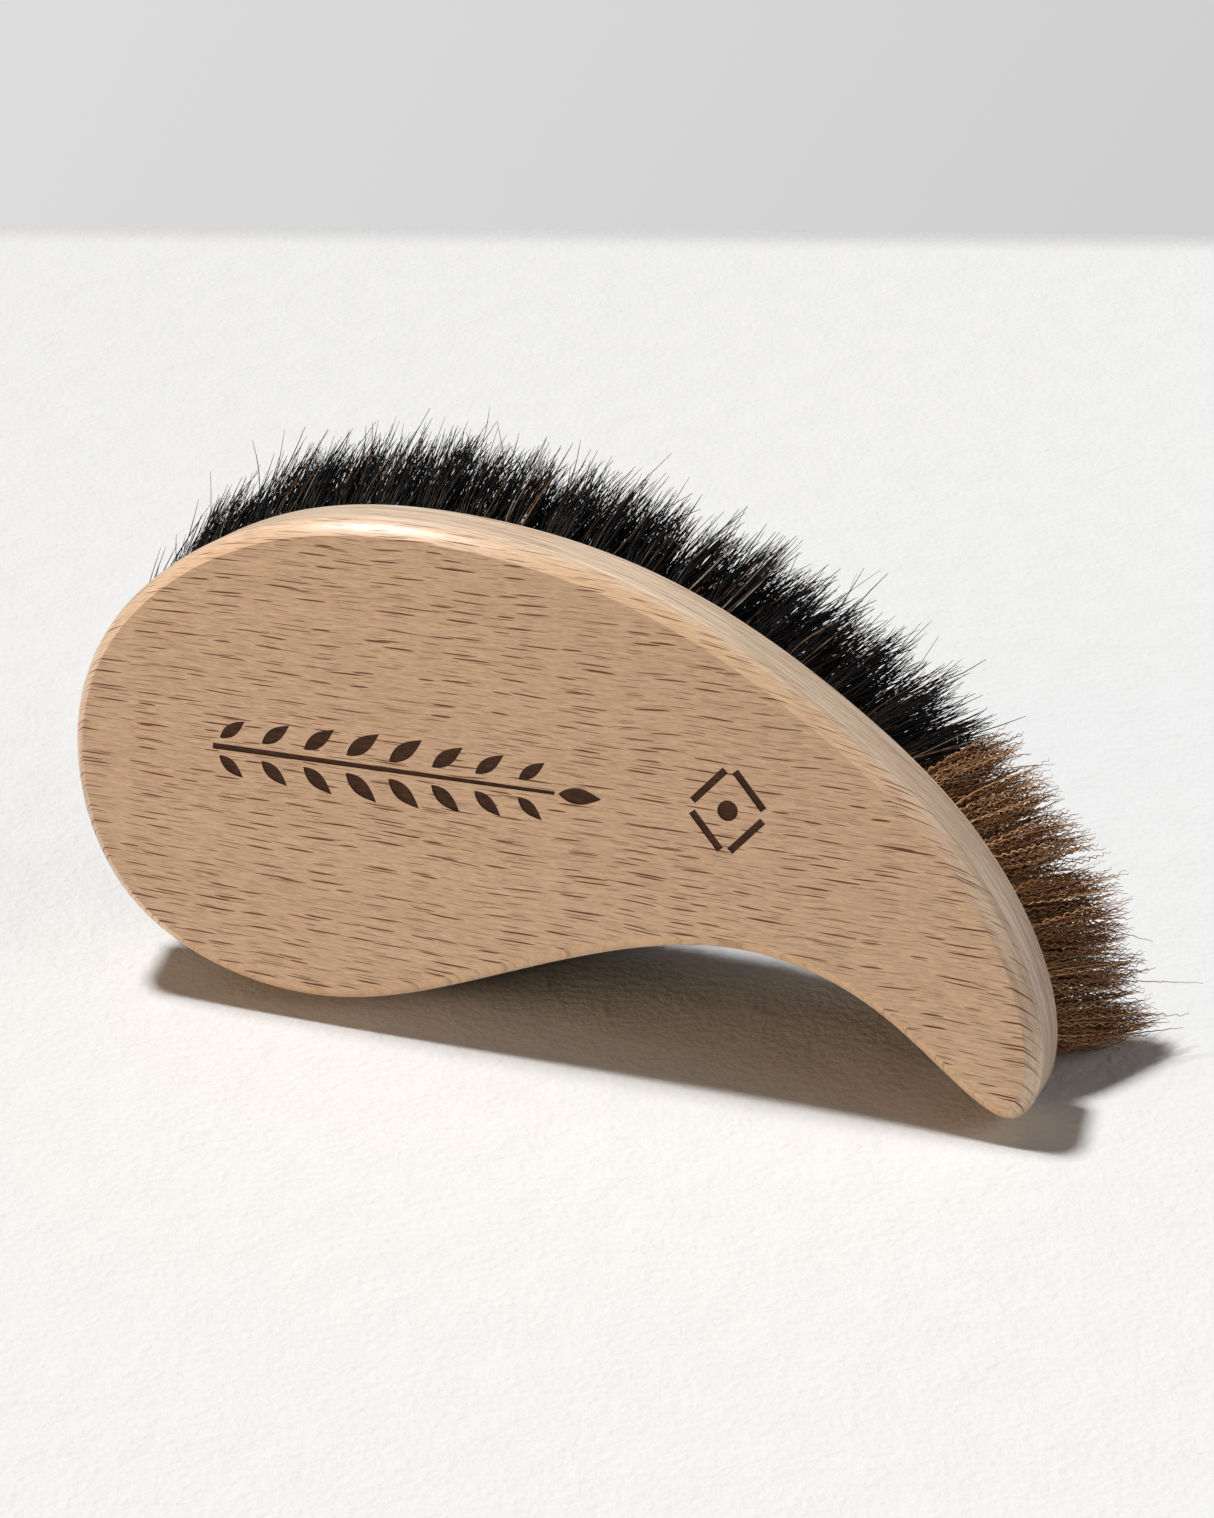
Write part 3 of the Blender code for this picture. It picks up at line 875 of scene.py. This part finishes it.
def strand_mesh(name, points, radii):
    """Closed tubes of few sides along the centrelines."""
    hairs, rings = points.shape[:2]
    along = unit(np.gradient(points, axis=1))
    first = unit(np.cross(along, np.array(STRAND_SIDEWAYS)))
    second = np.cross(along, first)
    corners = []
    for k in range(STRAND_SIDES):
        turn = 2.0 * math.pi * k / STRAND_SIDES
        out = first * math.cos(turn) + second * math.sin(turn)
        corners.append(points + out * radii[..., None])
    verts = np.stack(corners, axis=2).reshape(-1, 3)
    base = np.arange(hairs)[:, None, None] * rings * STRAND_SIDES
    ring = np.arange(rings - 1)[None, :, None] * STRAND_SIDES
    side = np.arange(STRAND_SIDES)[None, None, :]
    a, b = base + ring + side, base + ring + (side + 1) % STRAND_SIDES
    quads = np.stack([a, b, b + STRAND_SIDES, a + STRAND_SIDES], axis=-1).reshape(-1, 4)
    feet = base[:, 0] + np.arange(STRAND_SIDES)[None, ::-1]
    tips = base[:, 0] + (rings - 1) * STRAND_SIDES + np.arange(STRAND_SIDES)[None, :]
    caps = np.concatenate([feet, tips])
    mesh = bpy.data.meshes.new(name)
    mesh.vertices.add(len(verts))
    mesh.vertices.foreach_set("co", verts.astype(np.float32).ravel())
    mesh.loops.add(quads.size + caps.size)
    order = np.concatenate([quads.ravel(), caps.ravel()])
    mesh.loops.foreach_set("vertex_index", order.astype(np.int32))
    mesh.polygons.add(len(quads) + len(caps))
    cap_starts = quads.size + np.arange(len(caps)) * STRAND_SIDES
    starts = np.concatenate([np.arange(len(quads)) * 4, cap_starts])
    mesh.polygons.foreach_set("loop_start", starts.astype(np.int32))
    mesh.update(calc_edges=True)
    mesh.validate()
    mesh.shade_smooth()
    return mesh


def make_hair(node, centres, kind, material, slot, rng):
    """The strands of one pack of tufts."""
    points, radii = strand_paths(centres, kind, rng)
    piece = new_object("hair_" + node, strand_mesh("hair_" + node, points, radii))
    piece.data.materials.append(material)
    piece.matrix_world = TO_WORLD
    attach(piece, "root")
    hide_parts(node)


# ---------------------------------------------------------------- floor and backdrop


def make_floor():
    """A pale slab whose rounded far edge meets the backdrop."""
    profile = [(FLOOR_BACK + FLOOR_ROUND, -FLOOR_DEPTH)]
    for step in range(FLOOR_ROUND_STEPS + 1):
        turn = 0.5 * math.pi * step / FLOOR_ROUND_STEPS
        out, up = FLOOR_ROUND * math.cos(turn), FLOOR_ROUND * (math.sin(turn) - 1.0)
        profile.append((FLOOR_BACK + out, up))
    profile.append((-FLOOR_REACH, 0.0))
    bm = bmesh.new()
    rows = [[bm.verts.new((x, y, z)) for x in (-FLOOR_REACH, FLOOR_REACH)] for y, z in profile]
    for lower, upper in zip(rows, rows[1:]):
        bm.faces.new((lower[0], lower[1], upper[1], upper[0]))
    bmesh.ops.recalc_face_normals(bm, faces=bm.faces)
    floor = new_object("floor", new_mesh("floor", bm))
    floor.data.shade_smooth()
    floor.location = (TO_WORLD.translation.x, TO_WORLD.translation.y, 0.0)
    floor.rotation_euler = (0.0, 0.0, FLOOR_TURN)
    floor.data.materials.append(make_plaster())


def make_plaster():
    """Rough pale plaster, with painted shade at the slab's far edge: greyer there, and darker to
    the right.
    """
    tree = Tree("pale_plaster")
    side, along, up = tree.place()
    coarse = tree.noise((side, along, up), *PLASTER_COARSE)
    fine = tree.noise((side, along, up), *PLASTER_FINE)
    height = tree.maths("MULTIPLY_ADD", fine, FINE_PLASTER, coarse)
    plaster = tree.mix(coarse, PLASTER_DEEP, PLASTER_PALE)
    start, end = (FLOOR_BACK + shift for shift in FAR_EDGE_FADE)
    # Painted shade on the far edge, darker to the right
    far_edge = tree.mix(tree.fade(side, *FAR_EDGE_SIDES), FAR_EDGE_LEFT, FAR_EDGE_RIGHT)
    return tree.surface({
        "Base Color": tree.mix(tree.fade(along, start, end), plaster, far_edge),
        "Roughness": 0.85,
        "Specular IOR Level": 0.25,
        "Normal": tree.bump(height, PLASTER_BUMP, 0.6),
    })


def make_backdrop():
    """A grey wall far behind the floor whose brightness is a painted glow, paler on one side and
    darker on the other; it neither lights nor shades anything.
    """
    low, high = BACKDROP_HEIGHTS
    left, right = -BACKDROP_HALF, BACKDROP_HALF
    bm = bmesh.new()
    corners = [(left, low), (right, low), (right, high), (left, high)]
    bm.faces.new([bm.verts.new((x, BACKDROP_AWAY, z)) for x, z in corners])
    wall = new_object("backdrop", new_mesh("backdrop", bm))
    wall.rotation_euler = (0.0, 0.0, FLOOR_TURN)
    wall.visible_shadow = False
    wall.visible_diffuse = False
    wall.visible_glossy = False
    tree = Tree("grey_backdrop")
    x, _, z = tree.place()
    shade = tree.fade(tree.maths("MULTIPLY_ADD", z, BACKDROP_SLANT, x), *BACKDROP_FADE)
    wall.data.materials.append(tree.surface({
        "Base Color": NO_COLOUR,
        "Specular IOR Level": 0.0,
        "Roughness": 1.0,
        "Emission Color": tree.mix(shade, BACKDROP_PALE, BACKDROP_DEEP),
        "Emission Strength": 1.0,
    }))


# ---------------------------------------------------------------- lights and camera


def add_light(name, kind, strength, colour, place, target, **settings):
    light = bpy.data.lights.new(name, kind)
    light.energy = strength
    light.color = colour
    for key, value in settings.items():
        setattr(light, key, value)
    obj = new_object(name, light)
    obj.location = place
    obj.rotation_euler = (Vector(target) - Vector(place)).to_track_quat("-Z", "Y").to_euler()


def make_lights():
    """One hard light from behind on the left, two weak soft ones, and a trace all round."""
    world = bpy.data.worlds.new("studio")
    bpy.context.scene.world = world
    world.use_nodes = True
    background = world.node_tree.nodes["Background"]
    background.inputs["Color"].default_value = (*WORLD_COLOUR, 1.0)
    background.inputs["Strength"].default_value = WORLD_STRENGTH
    add_light("key", "SUN", SUN_STRENGTH, SUN_COLOUR, SUN_FROM, (0.0, 0.0, 0.0), angle=SUN_ANGLE)
    for name, strength, colour, place, (width, height) in FILLS:
        add_light(
            name, "AREA", strength, colour, place, FILL_TARGET,
            shape="RECTANGLE", size=width, size_y=height,
        )


def make_camera():
    """A long lens that looks down on the flat face from the front right."""
    camera = bpy.data.cameras.new("camera")
    camera.lens = CAMERA_LENS
    camera.sensor_width = CAMERA_SENSOR
    camera.sensor_fit = "AUTO"
    camera.clip_start, camera.clip_end = CAMERA_CLIP
    obj = new_object("camera", camera)
    obj.location = TO_WORLD.translation + Vector(CAMERA_AT)
    obj.rotation_euler = [math.radians(angle) for angle in CAMERA_TURN]
    bpy.context.scene.camera = obj


def main():
    rng = np.random.default_rng(SEED)
    beech, char, black, brown = make_beech(), make_char(), make_fibre(BLACK), make_fibre(BROWN)
    nodes = sorted(name for name in frame["nodes"] if name != "wood_block")
    centres = {name: tuft_centres(name) for name in nodes}
    make_block(np.concatenate([centres[name] for name in nodes]), beech, char)
    for name in nodes:
        if name.startswith("black"):
            make_hair(name, centres[name], BLACK, black, BLACK["slot"], rng)
        else:
            make_hair(name, centres[name], BROWN, brown, BROWN["slot"], rng)
    make_floor()
    make_backdrop()
    make_lights()
    make_camera()
    bpy.context.scene.view_settings.view_transform = "Standard"


main()
